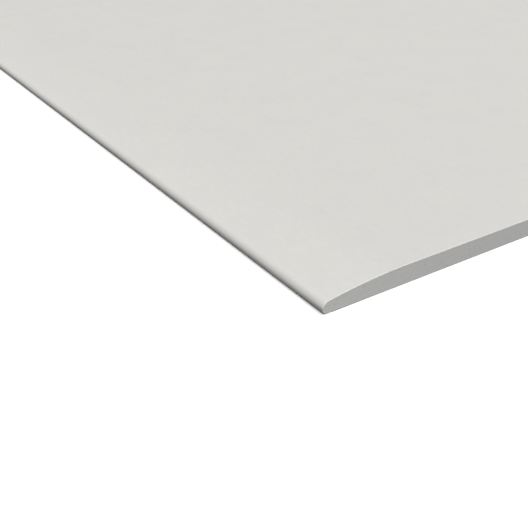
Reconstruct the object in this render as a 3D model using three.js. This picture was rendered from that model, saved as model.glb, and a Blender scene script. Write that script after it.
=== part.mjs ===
// Plasterboard sheet with half-round tapered long edges.
//
// Millimetres, +Z up. The sheet lies flat with its face up: X runs across its width, Y along its length,
// and the origin is under its middle, on the outer surface of the back liner.
//
// Three layers make the board. The gypsum core gives it its form. The face paper covers the face, wraps
// both long edges and is folded onto the back. The back liner closes the back and laps over both folds.
// Each long edge is tapered on the face side: the face falls away in one shallow arc and runs into the
// round of the edge. The short ends are cut square through all three layers, so the core is bare there.

import * as THREE from 'three';

// Sheet
const SHEET_LENGTH = 2400;
const SHEET_WIDTH = 1200;
const SHEET_THICKNESS = 12.5; // from the back liner to the flat of the face

// Papers
const FACE_PAPER_THICKNESS = 0.35;
const BACK_LINER_THICKNESS = 0.35;
const LINER_SETBACK = 6.25; // bare fold between the sheet's long edge and the liner's edge
const LINER_LAP = 20; // how far the liner covers the fold beyond that

// Section of a long edge
const TAPER_WIDTH = 62; // from the sheet's edge to where the face turns flat
const TAPER_DEPTH = 5.2; // fall of the taper's arc, taken at the sheet's edge
const BACK_ROUND_RADIUS = 2.5; // round between the fold and the upright
const UPRIGHT_HEIGHT = 0.4; // straight stretch between the two rounds

// Facets of each arc
const TAPER_FACETS = 24;
const FACE_ROUND_FACETS = 16;
const BACK_ROUND_FACETS = 8;

// Worked out from the sizes above
const HALF_WIDTH = SHEET_WIDTH / 2;
const FOLD_WIDTH = LINER_SETBACK + LINER_LAP;
const BACK_ROUND_CENTRE_Z = BACK_LINER_THICKNESS + BACK_ROUND_RADIUS;
const FACE_ROUND_CENTRE_Z = BACK_ROUND_CENTRE_Z + UPRIGHT_HEIGHT;

// The taper is an arc that leaves the flat face at a tangent and has fallen by its depth at the edge.
const TAPER_RADIUS = (TAPER_WIDTH ** 2 + TAPER_DEPTH ** 2) / (2 * TAPER_DEPTH);
const TAPER_CENTRE_Z = SHEET_THICKNESS - TAPER_RADIUS;

// The face round touches the upright and lies inside the taper's arc, tangent to it. Its centre is one
// radius in from the edge, and the two centres are the difference of the radii apart.
const CENTRES_RISE = FACE_ROUND_CENTRE_Z - TAPER_CENTRE_Z;
const FACE_ROUND_RADIUS =
  (TAPER_RADIUS ** 2 - TAPER_WIDTH ** 2 - CENTRES_RISE ** 2) / (2 * (TAPER_RADIUS - TAPER_WIDTH));
const TANGENT_ANGLE = Math.atan2(CENTRES_RISE, FACE_ROUND_RADIUS - TAPER_WIDTH);

const materials = {
  face: new THREE.MeshStandardMaterial({ color: '#dbdad6', roughness: 0.9, metalness: 0 }),
  liner: new THREE.MeshStandardMaterial({ color: '#a58c78', roughness: 0.95, metalness: 0 }),
  gypsum: new THREE.MeshStandardMaterial({ color: '#adadab', roughness: 1, metalness: 0 }),
};

// Points of one arc in the section, from the start angle down to the end angle.
function arcPoints(centreX, centreZ, radius, startAngle, endAngle, facets) {
  const curve = new THREE.EllipseCurve(centreX, centreZ, radius, radius, startAngle, endAngle, true);
  return curve.getPoints(facets);
}

// Left long edge in section, from the fold on the back, round the edge and up the taper to the face.
// The inset is the depth below the outer surface of the face paper.
function edgePoints(inset) {
  const left = -HALF_WIDTH;
  const backRound = arcPoints(
    left + BACK_ROUND_RADIUS,
    BACK_ROUND_CENTRE_Z,
    BACK_ROUND_RADIUS - inset,
    1.5 * Math.PI,
    Math.PI,
    BACK_ROUND_FACETS,
  );
  const faceRound = arcPoints(
    left + FACE_ROUND_RADIUS,
    FACE_ROUND_CENTRE_Z,
    FACE_ROUND_RADIUS - inset,
    Math.PI,
    TANGENT_ANGLE,
    FACE_ROUND_FACETS,
  );
  const taper = arcPoints(
    left + TAPER_WIDTH,
    TAPER_CENTRE_Z,
    TAPER_RADIUS - inset,
    TANGENT_ANGLE,
    0.5 * Math.PI,
    TAPER_FACETS,
  );
  return [...backRound, ...faceRound, ...taper.slice(1)];
}

function mirrored(points) {
  return points.map((point) => new THREE.Vector2(-point.x, point.y)).reverse();
}

// Both long edges and the face between them, from one fold to the other.
function wrapPoints(inset) {
  const leftEdge = edgePoints(inset);
  return [...leftEdge, ...mirrored(leftEdge)];
}

// Extrudes a section, drawn in X and Z, along the whole length of the sheet.
function layer(name, outline, material) {
  const section = new THREE.Shape(outline);
  const geometry = new THREE.ExtrudeGeometry(section, { depth: SHEET_LENGTH, bevelEnabled: false });
  geometry.translate(0, 0, -SHEET_LENGTH / 2);
  const mesh = new THREE.Mesh(geometry, material);
  mesh.name = name;
  mesh.rotation.x = Math.PI / 2;
  return mesh;
}

// The core fills the wrap. Its back lies on the liner, and steps in over each fold by one paper.
function gypsumCore() {
  const foldEnd = HALF_WIDTH - FOLD_WIDTH;
  const foldInside = BACK_LINER_THICKNESS + FACE_PAPER_THICKNESS;
  const back = [
    new THREE.Vector2(foldEnd, foldInside),
    new THREE.Vector2(foldEnd, BACK_LINER_THICKNESS),
    new THREE.Vector2(-foldEnd, BACK_LINER_THICKNESS),
    new THREE.Vector2(-foldEnd, foldInside),
  ];
  return layer('gypsum_core', [...wrapPoints(FACE_PAPER_THICKNESS), ...back], materials.gypsum);
}

// One sheet of paper, folded round both long edges and cut off under the liner.
function facePaper() {
  const foldEnd = HALF_WIDTH - FOLD_WIDTH;
  const foldInside = BACK_LINER_THICKNESS + FACE_PAPER_THICKNESS;
  const outline = [
    new THREE.Vector2(-foldEnd, BACK_LINER_THICKNESS),
    ...wrapPoints(0),
    new THREE.Vector2(foldEnd, BACK_LINER_THICKNESS),
    new THREE.Vector2(foldEnd, foldInside),
    ...wrapPoints(FACE_PAPER_THICKNESS).reverse(),
    new THREE.Vector2(-foldEnd, foldInside),
  ];
  return layer('face_paper', outline, materials.face);
}

// The liner is flat, glued to the core and to the outside of the folds.
function backLiner() {
  const linerEdge = HALF_WIDTH - LINER_SETBACK;
  const outline = [
    new THREE.Vector2(-linerEdge, 0),
    new THREE.Vector2(linerEdge, 0),
    new THREE.Vector2(linerEdge, BACK_LINER_THICKNESS),
    new THREE.Vector2(-linerEdge, BACK_LINER_THICKNESS),
  ];
  return layer('back_liner', outline, materials.liner);
}

const sheet = new THREE.Group();
sheet.add(gypsumCore(), facePaper(), backLiner());

export default sheet;
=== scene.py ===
"""A plasterboard sheet that lies face up on a pale studio floor.

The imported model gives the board's three layers at their real size. The back liner keeps its solid. The
gypsum core is modelled again from its solid, with the crumbly, slightly set-back ends that cutting leaves
between the two papers, and so is the face paper, whose cut ends the knife presses a little round.
"""
import logging
from dataclasses import dataclass
from enum import Enum
from math import pi, radians

import bpy
from mathutils import Euler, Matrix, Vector


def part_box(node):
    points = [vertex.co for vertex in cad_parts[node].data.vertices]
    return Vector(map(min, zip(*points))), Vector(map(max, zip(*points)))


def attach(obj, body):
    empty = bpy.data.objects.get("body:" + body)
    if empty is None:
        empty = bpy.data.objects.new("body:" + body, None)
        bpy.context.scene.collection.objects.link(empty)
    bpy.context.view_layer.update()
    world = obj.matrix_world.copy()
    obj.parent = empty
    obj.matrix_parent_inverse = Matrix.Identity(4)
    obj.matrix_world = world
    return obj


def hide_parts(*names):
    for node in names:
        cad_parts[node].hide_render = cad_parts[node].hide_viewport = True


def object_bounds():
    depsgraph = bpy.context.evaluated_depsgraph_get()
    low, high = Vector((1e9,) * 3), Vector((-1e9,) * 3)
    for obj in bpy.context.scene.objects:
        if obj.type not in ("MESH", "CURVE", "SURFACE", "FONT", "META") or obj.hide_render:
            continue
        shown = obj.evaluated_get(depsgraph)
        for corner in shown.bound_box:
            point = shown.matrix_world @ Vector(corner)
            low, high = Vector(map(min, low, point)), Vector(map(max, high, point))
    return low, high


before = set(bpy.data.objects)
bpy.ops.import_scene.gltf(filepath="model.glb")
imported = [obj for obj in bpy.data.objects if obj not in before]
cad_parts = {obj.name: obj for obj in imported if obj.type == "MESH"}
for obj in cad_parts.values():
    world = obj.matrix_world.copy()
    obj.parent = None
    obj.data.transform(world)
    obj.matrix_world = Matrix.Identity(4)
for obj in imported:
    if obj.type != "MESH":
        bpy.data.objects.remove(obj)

log = logging.getLogger("plasterboard")

MM = 0.001
BODY = "root"
CAD_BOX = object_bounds()
# Corners that lie closer than this become one, and so do neighbouring faces that are flatter than this.
MERGE_MM = 0.001
FLAT_DEGREES = 0.05
# A face counts as facing along an axis when its normal's part along that axis is above this.
FACING = 0.5
# The grey of a pattern that pushes nothing.
MEAN_GREY = 0.5

# The Mix node names its colour sockets as it names its number sockets, so they are taken by place.
MIX_COLOUR_A, MIX_COLOUR_B, MIX_COLOUR_RESULT = 6, 7, 2

# The sRGB curve: straight up to the end of its foot, and a power above it.
SRGB_TOP = 255
SRGB_FOOT_END = 0.04045
SRGB_FOOT_SLOPE = 12.92
SRGB_OFFSET = 0.055
SRGB_POWER = 2.4

# How many finer copies a noise adds: more for clouds and grains, fewer for fibres and scuffs.
CLOUD_DETAIL = 3.0
STREAK_DETAIL = 2.0
# How strong each finer copy is beside the one before it.
NOISE_ROUGHNESS = 0.6
# A patch begins where the noise passes the first value, and is full at the second.
PATCH_START, PATCH_FULL = 0.35, 0.65
# A dot's rim fades over its outer part, from this share of its radius.
DOT_RIM_START = 0.6
# The smallest dots' radius, as a share of the spacing. It is above 0 because a distance is divided by it.
SMALLEST_DOT = 0.001


class Layer(Enum):
    """The board's layers, by the names of their nodes."""

    CORE = "gypsum_core"
    FACE = "face_paper"
    LINER = "back_liner"


class Slot(Enum):
    """The record's material slots of the new pieces, which nothing in this script reads."""

    GYPSUM = "gypsum"
    FACE = "face_paper"


class Side(Enum):
    """The board's two pairs of rims, by the axis that runs across them."""

    LONG_EDGES = "X"
    ENDS = "Y"


# ---------------------------------------------------------------------------------------------- helpers


def linear(hex_colour: str) -> tuple[float, float, float, float]:
    """Turns an sRGB hex colour into the linear colour that a shader takes.

    Args:
        hex_colour: Six hex digits after a #.

    Returns:
        Linear red, green and blue, and an alpha of 1.
    """
    channels = [int(hex_colour[i:i + 2], 16) / SRGB_TOP for i in (1, 3, 5)]
    straightened = [
        channel / SRGB_FOOT_SLOPE
        if channel <= SRGB_FOOT_END
        else ((channel + SRGB_OFFSET) / (1 + SRGB_OFFSET)) ** SRGB_POWER
        for channel in channels
    ]
    return (*straightened, 1.0)


def per_metre(size_mm: float) -> float:
    """The scale that gives a noise pattern features of this size on coordinates in metres."""
    return 1.0 / (size_mm * MM)


def add_node(
    tree: bpy.types.NodeTree,
    kind: str,
    inputs: dict[str | int, object] | None = None,
    **settings: object,
) -> bpy.types.Node:
    """Adds a shader node with its settings, values and links.

    Args:
        tree: The tree that the node goes into.
        kind: The node's type, such as ShaderNodeTexNoise.
        inputs: For each input's name or number, a value or the output socket that feeds it.
        **settings: Properties of the node itself.

    Returns:
        The new node.
    """
    made = tree.nodes.new(kind)
    for name, value in settings.items():
        setattr(made, name, value)
    for name, value in (inputs or {}).items():
        if isinstance(value, bpy.types.NodeSocket):
            tree.links.new(value, made.inputs[name])
        else:
            made.inputs[name].default_value = value
    return made


def new_material(name: str) -> tuple[bpy.types.Material, bpy.types.NodeTree]:
    """Makes an empty node material.

    Args:
        name: The material's name.

    Returns:
        The material and its cleared node tree.
    """
    material = bpy.data.materials.new(name)
    material.use_nodes = True
    material.node_tree.nodes.clear()
    return material, material.node_tree


def rim_share(
    tree: bpy.types.NodeTree, where: bpy.types.NodeSocket, side: Side, reach_mm: float, most: float = 1.0
) -> bpy.types.NodeSocket:
    """Rises evenly from 0 towards the board's rim, alike at both of its ends or both of its long edges.

    Args:
        tree: The tree that the nodes go into.
        where: Object coordinates.
        side: Which pair of rims it rises towards.
        reach_mm: How far in from the rim it starts.
        most: What it rises to at the rim.

    Returns:
        The share.
    """
    axis, half = side.value, CAD_BOX[1]["XYZ".index(side.value)]
    place = add_node(tree, "ShaderNodeSeparateXYZ", {"Vector": where}).outputs[axis]
    off_middle = add_node(tree, "ShaderNodeMath", {0: place}, operation="ABSOLUTE").outputs["Value"]
    return add_node(
        tree,
        "ShaderNodeMapRange",
        {"Value": off_middle, "From Min": half - reach_mm * MM, "From Max": half, "To Max": most},
    ).outputs["Result"]


def scattered_dots(
    tree: bpy.types.NodeTree,
    where: bpy.types.NodeSocket,
    spacing_mm: float,
    radius_mm: float,
    bare_share: float,
    most: float = 1.0,
) -> bpy.types.NodeSocket:
    """Scatters round dots of mixed sizes, at most one in each cell of a Voronoi pattern.

    Args:
        tree: The tree that the nodes go into.
        where: Object coordinates.
        spacing_mm: Mean distance from cell to cell.
        radius_mm: Radius of the largest dots.
        bare_share: Share of the cells that hold no dot.
        most: The share in the middle of a dot.

    Returns:
        The share, 0 outside the dots, with a soft rim.
    """
    cells = add_node(tree, "ShaderNodeTexVoronoi", {"Vector": where, "Scale": per_metre(spacing_mm)})
    draw = add_node(tree, "ShaderNodeSeparateColor", {"Color": cells.outputs["Color"]}).outputs["Red"]
    reach = add_node(
        tree,
        "ShaderNodeMapRange",
        {"Value": draw, "From Min": bare_share, "To Min": SMALLEST_DOT, "To Max": radius_mm / spacing_mm},
    ).outputs["Result"]
    depth = add_node(
        tree, "ShaderNodeMath", {0: cells.outputs["Distance"], 1: reach}, operation="DIVIDE"
    ).outputs["Value"]
    return add_node(
        tree,
        "ShaderNodeMapRange",
        {"Value": depth, "From Min": DOT_RIM_START, "From Max": 1.0, "To Min": most, "To Max": 0.0},
    ).outputs["Result"]


def streaks(
    tree: bpy.types.NodeTree,
    where: bpy.types.NodeSocket,
    width_mm: float,
    length_mm: float,
    detail: float,
) -> bpy.types.NodeSocket:
    """Draws a noise of streaks that lie along the board, or of clouds where both sizes are the same.

    Args:
        tree: The tree that the nodes go into.
        where: Object coordinates.
        width_mm: Size of a streak across the board.
        length_mm: Size of a streak along the board.
        detail: How many finer copies the noise adds.

    Returns:
        The noise, mostly from 0.3 to 0.7.
    """
    drawn_out = add_node(
        tree, "ShaderNodeMapping", {"Vector": where, "Scale": (1.0, width_mm / length_mm, 1.0)}
    ).outputs["Vector"]
    return add_node(
        tree,
        "ShaderNodeTexNoise",
        {
            "Vector": drawn_out,
            "Scale": per_metre(width_mm),
            "Detail": detail,
            "Roughness": NOISE_ROUGHNESS,
        },
    ).outputs["Fac"]


def patches(
    tree: bpy.types.NodeTree, noise: bpy.types.NodeSocket, rim: bpy.types.NodeSocket | float, most: float
) -> bpy.types.NodeSocket:
    """Turns a noise into the share of a colour that lies on a surface in patches.

    Args:
        tree: The tree that the nodes go into.
        noise: The noise that says where the patches are.
        rim: A share that keeps the patches to one place, or 1.
        most: The share in the middle of a patch.

    Returns:
        The share of the colour.
    """
    spread = add_node(
        tree,
        "ShaderNodeMapRange",
        {"Value": noise, "From Min": PATCH_START, "From Max": PATCH_FULL, "To Min": 0.0, "To Max": most},
    ).outputs["Result"]
    return add_node(tree, "ShaderNodeMath", {0: spread, 1: rim}, operation="MULTIPLY").outputs["Value"]


def layered_colour(
    tree: bpy.types.NodeTree, base: str, layers: tuple[tuple[bpy.types.NodeSocket, str], ...]
) -> bpy.types.NodeSocket:
    """Lays colours over a base colour, each by its own share.

    Args:
        tree: The tree that the nodes go into.
        base: The first colour.
        layers: Each colour above it with its share, in order.

    Returns:
        The colour on top.
    """
    colour: bpy.types.NodeSocket | tuple[float, float, float, float] = linear(base)
    for share, shade in layers:
        colour = add_node(
            tree,
            "ShaderNodeMix",
            {"Factor": share, MIX_COLOUR_A: colour, MIX_COLOUR_B: linear(shade)},
            data_type="RGBA",
        ).outputs[MIX_COLOUR_RESULT]
    return colour


def seen_directly(tree: bpy.types.NodeTree) -> bpy.types.NodeSocket:
    """Tells what the camera sees, straight or by a mirror or glass, from what only lights the board.

    Args:
        tree: The tree that the nodes go into.

    Returns:
        1 for what is seen and 0 for what lights.
    """
    rays = add_node(tree, "ShaderNodeLightPath")
    seen = rays.outputs["Is Camera Ray"]
    for kind in ("Is Glossy Ray", "Is Transmission Ray"):
        seen = add_node(
            tree, "ShaderNodeMath", {0: seen, 1: rays.outputs[kind]}, operation="MAXIMUM"
        ).outputs["Value"]
    return seen


def finish_surface(
    tree: bpy.types.NodeTree,
    colour: bpy.types.NodeSocket,
    height: bpy.types.NodeSocket,
    roughness: tuple[float, float],
    relief_mm: float,
    gloss: float,
) -> None:
    """Ends a material with a matt surface that is rougher where it stands higher.

    Args:
        tree: The tree that the nodes go into.
        colour: The surface's colour.
        height: The height that gives it its relief, from 0 to 1.
        roughness: Roughness at its lowest and at its highest points.
        relief_mm: How high the relief is.
        gloss: Specular level, where 0.5 is a closed surface.
    """
    rough = add_node(
        tree, "ShaderNodeMapRange", {"Value": height, "To Min": roughness[0], "To Max": roughness[1]}
    ).outputs["Result"]
    relief = add_node(
        tree, "ShaderNodeBump", {"Height": height, "Strength": 1.0, "Distance": relief_mm * MM}
    ).outputs["Normal"]
    shader = add_node(
        tree,
        "ShaderNodeBsdfPrincipled",
        {"Base Color": colour, "Roughness": rough, "Specular IOR Level": gloss, "Normal": relief},
    ).outputs["BSDF"]
    add_node(tree, "ShaderNodeOutputMaterial", {"Surface": shader})


def make_active(piece: bpy.types.Object) -> None:
    """Selects one object alone and makes it active.

    Args:
        piece: The object to select.
    """
    bpy.ops.object.select_all(action="DESELECT")
    piece.select_set(True)
    bpy.context.view_layer.objects.active = piece


def apply_place(piece: bpy.types.Object) -> None:
    """Moves an object's place, turn and scale into its mesh."""
    make_active(piece)
    bpy.ops.object.transform_apply(location=True, rotation=True, scale=True)


def merged_copy(layer: Layer, name: str) -> bpy.types.Object:
    """Copies a layer's solid and joins its loose triangles, so that each end and each flat is one face.

    Args:
        layer: The layer to copy.
        name: The copy's name.

    Returns:
        The closed copy.
    """
    copy = bpy.data.objects.new(name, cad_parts[layer.value].data.copy())
    bpy.context.scene.collection.objects.link(copy)
    make_active(copy)
    bpy.ops.object.mode_set(mode="EDIT")
    bpy.ops.mesh.select_all(action="SELECT")
    bpy.ops.mesh.remove_doubles(threshold=MERGE_MM * MM)
    for end in (-1, 1):
        bpy.ops.mesh.select_mode(type="FACE")
        bpy.ops.mesh.select_all(action="DESELECT")
        bpy.ops.object.mode_set(mode="OBJECT")
        for face in copy.data.polygons:
            face.select = face.normal.y * end > FACING
        bpy.ops.object.mode_set(mode="EDIT")
        bpy.ops.mesh.dissolve_faces()
    bpy.ops.mesh.select_all(action="SELECT")
    bpy.ops.mesh.dissolve_limited(angle_limit=radians(FLAT_DEGREES))
    bpy.ops.object.mode_set(mode="OBJECT")
    copy.data.materials.clear()
    return copy


def dress(piece: bpy.types.Object, material: bpy.types.Material) -> None:
    """Gives an object one material in its only slot.

    Args:
        piece: The object to dress.
        material: Its finish.
    """
    if not piece.material_slots:
        piece.data.materials.append(material)
    for slot in piece.material_slots:
        slot.material = material


def stand_in(piece: bpy.types.Object, layer: Layer) -> None:
    """Puts a piece in the place of a layer's solid, on the board's body, and hides the solid.

    Args:
        piece: The new piece.
        layer: The layer that it stands for.
    """
    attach(piece, BODY)
    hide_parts(layer.value)


# --------------------------------------------------------------------------------------------- finishes


@dataclass(frozen=True)
class BoardPaper:
    """Board paper: several plies of recycled paper, pressed smooth and left unprinted.

    It is matt and faintly cloudy. Its fibres lie mostly along the sheet, the way that the paper runs off
    its machine, and recycled paper keeps a few specks. Gypsum dust clings to it beside the cut ends. Its
    cut rims are paler, where the knife tears the fibres, and on the face paper this pale line is also a
    painted highlight. It is scuffed in streaks by its long edges, where boards slide on each other; on
    the face paper the darker scuffs on the nose's outermost band are also painted shade.
    """

    name: str
    base: str
    cloud: str
    fibre: str
    fibre_share: float
    speck: str
    speck_share: float
    dust: str
    dust_share: float
    torn_and_highlight: str
    torn_and_highlight_share: float
    scuff_and_shade: str
    scuff_and_shade_share: float
    # A ply's formation clouds are 10 to 40 mm across.
    cloud_size_mm: float = 30.0
    # A real fibre is 0.03 mm wide and 1 to 3 mm long, too fine to show. It is drawn as flocks of many.
    fibre_width_mm: float = 1.0
    fibre_length_mm: float = 8.0
    # Specks are 0.1 to 0.5 mm across in real paper. They are drawn a little larger and farther apart.
    speck_spacing_mm: float = 14.0
    speck_radius_mm: float = 0.4
    speck_free_share: float = 0.3
    dust_reach_mm: float = 35.0
    dust_size_mm: float = 2.5
    # The knife tears the fibres of the cut rim, and powder fills them: an uneven pale line, 1 mm wide. On
    # the face paper this pale line is also a painted highlight along the cut rim.
    torn_and_highlight_reach_mm: float = 1.0
    # Scuffs by the long edges; on the face paper's nose they are darker, and partly painted shade.
    scuff_and_shade_reach_mm: float = 0.2
    scuff_and_shade_width_mm: float = 2.0
    scuff_and_shade_length_mm: float = 45.0
    roughness: tuple[float, float] = (0.84, 0.96)
    relief_mm: float = 0.02
    # Open fibres give far less gloss than a closed surface does.
    gloss: float = 0.15

    def material(self) -> bpy.types.Material:
        """Builds the paper.

        Returns:
            The finished material.
        """
        made, tree = new_material(self.name)
        where = add_node(tree, "ShaderNodeTexCoord").outputs["Object"]
        clouds = streaks(tree, where, self.cloud_size_mm, self.cloud_size_mm, CLOUD_DETAIL)
        fibres = streaks(tree, where, self.fibre_width_mm, self.fibre_length_mm, STREAK_DETAIL)
        specks = scattered_dots(
            tree,
            where,
            self.speck_spacing_mm,
            self.speck_radius_mm,
            self.speck_free_share,
            self.speck_share,
        )
        dust = streaks(tree, where, self.dust_size_mm, self.dust_size_mm, CLOUD_DETAIL)
        scuffs_and_shade = streaks(tree, where, self.scuff_and_shade_width_mm, self.scuff_and_shade_length_mm, STREAK_DETAIL)
        by_ends = rim_share(tree, where, Side.ENDS, self.dust_reach_mm)
        torn_and_highlight_rim = rim_share(tree, where, Side.ENDS, self.torn_and_highlight_reach_mm)
        by_edges = rim_share(tree, where, Side.LONG_EDGES, self.scuff_and_shade_reach_mm)
        colour = layered_colour(
            tree,
            self.base,
            (
                (patches(tree, clouds, 1.0, 1.0), self.cloud),
                (patches(tree, fibres, 1.0, self.fibre_share), self.fibre),
                (specks, self.speck),
                (patches(tree, dust, by_ends, self.dust_share), self.dust),
                # The pale cut rim is torn fibres, and on the face paper also a painted highlight along
                # the rim.
                (patches(tree, dust, torn_and_highlight_rim, self.torn_and_highlight_share), self.torn_and_highlight),
                # The scuffs are wear, and on the face paper's nose also painted shade.
                (patches(tree, scuffs_and_shade, by_edges, self.scuff_and_shade_share), self.scuff_and_shade),
            ),
        )
        finish_surface(tree, colour, fibres, self.roughness, self.relief_mm, self.gloss)
        return made


@dataclass(frozen=True)
class CutGypsum:
    """Foamed gypsum, cut across: off-white, chalky and dull, with a fine grain and small air pores.

    Towards the long edges it is painted a little whiter, which is painted light.
    """

    name: str
    base: str
    grain: str
    edge: str
    painted_light_share: float
    pore_shade: str
    # The grain of set gypsum is a few hundredths of a millimetre. It is drawn coarse enough to show.
    grain_size_mm: float = 0.9
    grain_share: float = 0.5
    # Foam leaves pores of 0.1 to 0.8 mm across, of which only the larger ones show. Their darker colour
    # is painted shade in the hollows.
    pore_spacing_mm: float = 1.3
    pore_radius_mm: float = 0.4
    pore_free_share: float = 0.35
    # How far in from the long edges the painted light reaches.
    painted_light_reach_mm: float = 130.0
    roughness: tuple[float, float] = (0.9, 1.0)
    relief_mm: float = 0.05
    # A chalky surface of open grains has next to no gloss.
    gloss: float = 0.15

    def material(self) -> bpy.types.Material:
        """Builds the gypsum.

        Returns:
            The finished material.
        """
        made, tree = new_material(self.name)
        where = add_node(tree, "ShaderNodeTexCoord").outputs["Object"]
        grains = streaks(tree, where, self.grain_size_mm, self.grain_size_mm, CLOUD_DETAIL)
        pores = scattered_dots(
            tree, where, self.pore_spacing_mm, self.pore_radius_mm, self.pore_free_share
        )
        # Painted light: the cut face is painted whiter towards the long edges.
        by_edges = rim_share(tree, where, Side.LONG_EDGES, self.painted_light_reach_mm, self.painted_light_share)
        colour = layered_colour(
            tree,
            self.base,
            (
                (by_edges, self.edge),
                (patches(tree, grains, 1.0, self.grain_share), self.grain),
                # The pores' darker colour is painted shade in their hollows.
                (pores, self.pore_shade),
            ),
        )
        height = add_node(
            tree, "ShaderNodeMath", {0: grains, 1: pores}, operation="SUBTRACT", use_clamp=True
        ).outputs["Value"]
        finish_surface(tree, colour, height, self.roughness, self.relief_mm, self.gloss)
        return made


@dataclass(frozen=True)
class StudioFloorPaint:
    """Matt white floor paint. The camera sees it white, and what it throws back on the board is grey."""

    name: str
    seen: str
    bounced: str

    def material(self) -> bpy.types.Material:
        """Builds the floor's paint.

        Returns:
            The finished material.
        """
        made, tree = new_material(self.name)
        colour = layered_colour(tree, self.bounced, ((seen_directly(tree), self.seen),))
        shader = add_node(tree, "ShaderNodeBsdfDiffuse", {"Color": colour}).outputs["BSDF"]
        add_node(tree, "ShaderNodeOutputMaterial", {"Surface": shader})
        return made


# Bleached top ply over grey plies, calendered: an even warm light grey that holds no highlight, and a
# fine paler line along the cut rims, which is partly a painted highlight.
IVORY_FACE_PAPER = BoardPaper(
    name="ivory face paper, calendered",
    base="#d6d4d0",
    cloud="#d4d2cf",
    fibre="#cbc8c2",
    fibre_share=0.3,
    speck="#b9b5ad",
    speck_share=0.35,
    dust="#f0f0ee",
    dust_share=0.06,
    # A pale cut rim: torn fibres, and a painted highlight along the rim.
    torn_and_highlight="#f4f4f2",
    torn_and_highlight_share=0.55,
    # Darker scuffs on the nose's outermost band: wear, and painted shade there.
    scuff_and_shade="#8d8b88",
    scuff_and_shade_share=0.3,
)
# Unbleached mixed waste paper, calendered: mid brown, with plain fibre streaks and many dark specks.
BROWN_LINER_PAPER = BoardPaper(
    name="brown liner paper, recycled",
    base="#a6907d",
    cloud="#a08977",
    fibre="#8f7663",
    fibre_share=0.5,
    speck="#6c5646",
    speck_share=0.6,
    dust="#d9d4cf",
    dust_share=0.2,
    torn_and_highlight="#d9d4cf",
    torn_and_highlight_share=0.45,
    scuff_and_shade="#b8a796",
    scuff_and_shade_share=0.25,
    scuff_and_shade_reach_mm=150.0,
    speck_spacing_mm=9.0,
)
# Gypsum foamed with air, cast between the papers and cut: dull white, grained and pitted, never glossy,
# with painted shade in its pores and painted light towards the long edges.
CAST_GYPSUM = CutGypsum(
    name="foamed gypsum, cast and cut",
    base="#dfdfde",
    grain="#d6d6d5",
    # Painted light: whiter towards the long edges.
    edge="#ebebe9",
    painted_light_share=0.9,
    # Painted shade in the pores.
    pore_shade="#c0c0bd",
)
# The studio's floor: a plain white that throws little light back up at the board.
WHITE_FLOOR = StudioFloorPaint(name="studio floor, matt white paint", seen="#ffffff", bounced="#404040")


# ------------------------------------------------------------------------------------------- the board


@dataclass
class GypsumCore:
    """The cast core: the solid's own section, cut from a block with crumbly, set-back ends."""

    finish: CutGypsum
    set_back_mm: float = 0.07
    # Size of the rough ends' cells, and how far the block stands past the core all round.
    cell_mm: float = 0.8
    margin_mm: float = 1.5
    # The ends are rough at two sizes, each by its own depth.
    undulation_mm: float = 0.05
    undulation_size_mm: float = 7.0
    crumble_mm: float = 0.07
    crumble_size_mm: float = 1.8
    pattern_steps: int = 2

    def rough_block(self) -> bpy.types.Object:
        """Makes the block that the core is cut from, wider and higher than the core, with rough ends.

        Returns:
            The block, as a closed mesh.
        """
        low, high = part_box(Layer.CORE.value)
        margin, set_back, cell = self.margin_mm * MM, self.set_back_mm * MM, self.cell_mm * MM
        width = high.x - low.x + 2 * margin
        height = high.z - low.z + 2 * margin
        length = high.y - low.y - 2 * set_back
        bpy.ops.object.select_all(action="DESELECT")
        bpy.ops.mesh.primitive_grid_add(
            x_subdivisions=round(width / cell),
            y_subdivisions=round(height / cell),
            size=1.0,
            location=(0.0, low.y + set_back, (low.z + high.z) / 2),
            rotation=(radians(90), 0.0, 0.0),
        )
        block = bpy.context.object
        block.name = "gypsum_core_cut"
        block.scale = (width, height, 1.0)
        apply_place(block)
        bpy.ops.object.mode_set(mode="EDIT")
        bpy.ops.mesh.select_all(action="SELECT")
        # A triangle stays flat when its corners move, so the cut is clean.
        bpy.ops.mesh.quads_convert_to_tris()
        bpy.ops.mesh.extrude_region_move(TRANSFORM_OT_translate={"value": (0.0, length, 0.0)})
        bpy.ops.mesh.select_all(action="SELECT")
        bpy.ops.mesh.normals_make_consistent(inside=False)
        bpy.ops.object.mode_set(mode="OBJECT")
        self.roughen(block, "undulation", self.undulation_size_mm, self.undulation_mm)
        self.roughen(block, "crumble", self.crumble_size_mm, self.crumble_mm)
        return block

    def roughen(self, block: bpy.types.Object, name: str, size_mm: float, depth_mm: float) -> None:
        """Pushes the block's ends in and out along its length by a cloudy pattern.

        Args:
            block: The block to roughen.
            name: The pattern's name.
            size_mm: Size of its features.
            depth_mm: Its whole depth, from its deepest point to its highest.
        """
        pattern = bpy.data.textures.new(name, "CLOUDS")
        pattern.noise_scale = size_mm * MM
        pattern.noise_depth = self.pattern_steps
        push = block.modifiers.new(name, "DISPLACE")
        push.texture = pattern
        push.texture_coords = "LOCAL"
        push.direction = "Y"
        push.mid_level = MEAN_GREY
        push.strength = depth_mm * MM
        make_active(block)
        bpy.ops.object.modifier_apply(modifier=push.name)

    def build(self) -> bpy.types.Object:
        """Cuts the rough block to the core's section.

        Returns:
            The core.
        """
        block = self.rough_block()
        cutter = merged_copy(Layer.CORE, "core_section")
        cut = block.modifiers.new("section", "BOOLEAN")
        cut.operation = "INTERSECT"
        cut.solver = "EXACT"
        cut.object = cutter
        make_active(block)
        bpy.ops.object.modifier_apply(modifier=cut.name)
        bpy.data.objects.remove(cutter)
        block.data.materials.clear()
        dress(block, self.finish.material())
        stand_in(block, Layer.CORE)
        return block


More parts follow.
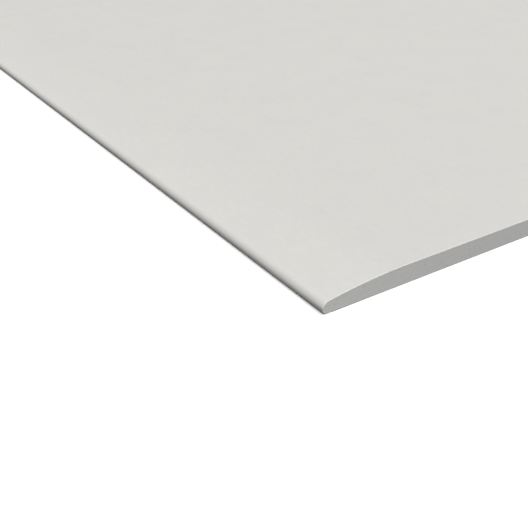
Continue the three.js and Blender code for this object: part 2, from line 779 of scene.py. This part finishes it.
@dataclass
class FacePaper:
    """The face paper, wrapped round both long edges. The knife presses its cut ends a little round."""

    finish: BoardPaper
    arris_mm: float = 0.32
    arris_steps: int = 3
    # The line that the paper curves round at each long edge: its height, and how far in it lies.
    middle_height_mm: float = 3.5
    nose_depth_mm: float = 6.0
    smooth_degrees: float = 40.0

    def faces_out(self, place: Vector, normal: Vector) -> bool:
        """Tells the paper's outer side from its inner side.

        Args:
            place: A point on the paper.
            normal: The paper's normal there.

        Returns:
            Whether the normal points away from the middle of the board.
        """
        reach = CAD_BOX[1][0] - self.nose_depth_mm * MM
        middle = Vector((max(-reach, min(reach, place.x)), place.y, self.middle_height_mm * MM))
        return normal.dot(place - middle) > 0

    def select_end_arrises(self, paper: bpy.types.Object) -> None:
        """Selects the edges where the paper's outer side meets its two cut ends.

        Args:
            paper: The paper's mesh object.
        """
        mesh = paper.data
        ends, sides = set(), {}
        for face in mesh.polygons:
            for key in face.edge_keys:
                if abs(face.normal.y) > FACING:
                    ends.add(key)
                else:
                    sides[key] = face.normal
        for item in (*mesh.vertices, *mesh.edges, *mesh.polygons):
            item.select = False
        for edge in mesh.edges:
            if edge.key in ends and edge.key in sides:
                place = (mesh.vertices[edge.key[0]].co + mesh.vertices[edge.key[1]].co) / 2
                edge.select = self.faces_out(place, sides[edge.key])

    def build(self) -> bpy.types.Object:
        """Rounds the ends of a copy of the layer's solid.

        Returns:
            The paper.
        """
        paper = merged_copy(Layer.FACE, "face_paper_wrapped")
        self.select_end_arrises(paper)
        bpy.ops.object.mode_set(mode="EDIT")
        bpy.ops.mesh.select_mode(type="EDGE")
        bpy.ops.mesh.bevel(offset=self.arris_mm * MM, segments=self.arris_steps, affect="EDGES")
        bpy.ops.object.mode_set(mode="OBJECT")
        bpy.ops.object.shade_smooth_by_angle(angle=radians(self.smooth_degrees))
        dress(paper, self.finish.material())
        stand_in(paper, Layer.FACE)
        return paper


@dataclass
class BackLiner:
    """The brown back liner, a flat sheet whose solid has its shape already."""

    finish: BoardPaper

    def build(self) -> bpy.types.Object:
        """Dresses the layer's own solid.

        Returns:
            The dressed solid.
        """
        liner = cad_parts[Layer.LINER.value]
        dress(liner, self.finish.material())
        return liner


@dataclass
class Board:
    """The whole sheet: its core between the face paper and the back liner."""

    core: GypsumCore
    face: FacePaper
    liner: BackLiner

    def build(self) -> None:
        """Builds the layers in order and reports each."""
        for layer in (self.core, self.face, self.liner):
            piece = layer.build()
            log.info("%s: %d faces", piece.name, len(piece.data.polygons))


# ------------------------------------------------------------------------------------------ the studio


@dataclass(frozen=True)
class SoftSun:
    """A sun, soft by its spread, given by how much it lights a surface that faces each way.

    A share of 1 lights a white surface just to white.
    """

    name: str
    shares: tuple[float, float, float]
    spread_degrees: float
    glints: bool = True

    def build(self) -> None:
        """Hangs the sun, turned to shine from the way that its shares point."""
        towards = Vector(self.shares)
        lamp = bpy.data.lights.new(self.name, "SUN")
        # A strength of pi lights a white surface that faces the sun just to white.
        lamp.energy = pi * towards.length
        lamp.angle = radians(self.spread_degrees)
        holder = bpy.data.objects.new(self.name, lamp)
        holder.rotation_euler = towards.to_track_quat("Z", "Y").to_euler()
        holder.visible_glossy = self.glints
        bpy.context.scene.collection.objects.link(holder)


@dataclass
class Studio:
    """A level white floor under an overhead soft light, a low light from behind and an even sky."""

    paint: StudioFloorPaint
    floor_size_m: float = 120.0
    suns: tuple[SoftSun, ...] = (
        SoftSun(name="overhead_light", shares=(-0.3, -0.46, 0.967), spread_degrees=60.0),
        SoftSun(name="light_behind", shares=(0.26, 0.36, 0.02), spread_degrees=5.0, glints=False),
    )
    sky_colour: str = "#ffffff"
    sky_share: float = 0.04

    def build_floor(self) -> None:
        """Lays the floor that the board lies on."""
        bpy.ops.object.select_all(action="DESELECT")
        bpy.ops.mesh.primitive_plane_add(size=self.floor_size_m, location=(0.0, 0.0, 0.0))
        floor = bpy.context.object
        floor.name = "studio_floor"
        apply_place(floor)
        dress(floor, self.paint.material())

    def build_sky(self) -> None:
        """Sets an even sky, which the camera sees as white."""
        world = bpy.data.worlds.new("even_sky")
        world.use_nodes = True
        tree = world.node_tree
        tree.nodes.clear()
        strength = add_node(
            tree,
            "ShaderNodeMapRange",
            {"Value": seen_directly(tree), "To Min": self.sky_share, "To Max": 1.0},
        ).outputs["Result"]
        light = add_node(
            tree, "ShaderNodeBackground", {"Color": linear(self.sky_colour), "Strength": strength}
        ).outputs["Background"]
        add_node(tree, "ShaderNodeOutputWorld", {"Surface": light})
        bpy.context.scene.world = world

    def build(self) -> None:
        """Builds the floor, the suns and the sky, and sets the plain view."""
        self.build_floor()
        for sun in self.suns:
            sun.build()
        self.build_sky()
        bpy.context.scene.view_settings.view_transform = "Standard"


@dataclass
class CornerCamera:
    """A level camera that looks down on the board's near left corner from just outside it."""

    place_mm: tuple[float, float, float] = (-811.3, -1461.7, 224.5)
    # Clockwise from the board's length, seen from above.
    heading_degrees: float = 33.607
    look_down_degrees: float = 29.922
    lens_mm: float = 51.5
    sensor_mm: float = 36.0
    nearest_m: float = 0.01
    farthest_m: float = 200.0

    def build(self) -> None:
        """Makes the camera and gives it to the scene."""
        lens = bpy.data.cameras.new("corner_camera")
        lens.lens = self.lens_mm
        lens.sensor_width = self.sensor_mm
        lens.clip_start = self.nearest_m
        lens.clip_end = self.farthest_m
        camera = bpy.data.objects.new("corner_camera", lens)
        camera.location = Vector(self.place_mm) * MM
        camera.rotation_euler = Euler(
            (radians(90 - self.look_down_degrees), 0.0, radians(-self.heading_degrees))
        )
        bpy.context.scene.collection.objects.link(camera)
        bpy.context.scene.camera = camera


def main() -> None:
    """Builds and dresses the board, then the studio round it."""
    logging.basicConfig(level=logging.INFO, format="%(name)s: %(message)s")
    Board(
        core=GypsumCore(CAST_GYPSUM),
        face=FacePaper(IVORY_FACE_PAPER),
        liner=BackLiner(BROWN_LINER_PAPER),
    ).build()
    Studio(WHITE_FLOOR).build()
    CornerCamera().build()


if __name__ == "__main__":
    main()
